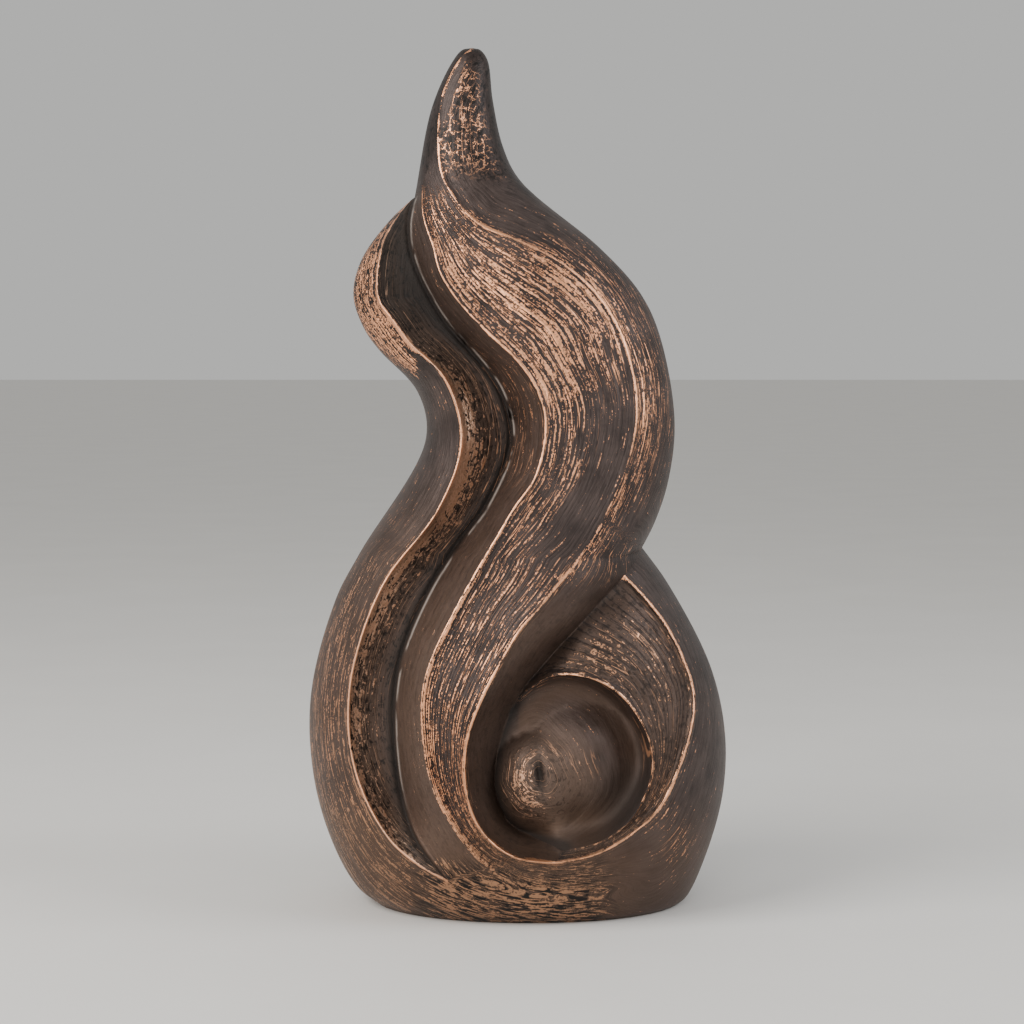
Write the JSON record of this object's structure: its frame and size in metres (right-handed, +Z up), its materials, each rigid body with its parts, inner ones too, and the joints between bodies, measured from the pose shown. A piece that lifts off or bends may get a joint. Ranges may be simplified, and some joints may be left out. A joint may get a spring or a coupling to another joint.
{
  "type": "bronze garden urn",
  "caption": "Flame-shaped bronze garden urn: a twisting ribbon sweeps down beside a long channel and curls round a hollow bowl with a boss; stands on a flat oval foot.",
  "frame": {"origin": "middle of the underside, at the centre of the box seen from above", "axes": "+Z up; the carved front faces -Y; +X to the viewer's right"},
  "size_m": [0.2068, 0.1524, 0.42],
  "materials": {
    "bronze": "dark brown patina rubbed through to bright copper on the ridges, satin"
  },
  "bodies": {
    "root": {"flame_urn": "bronze"}
  },
  "joints": []
}
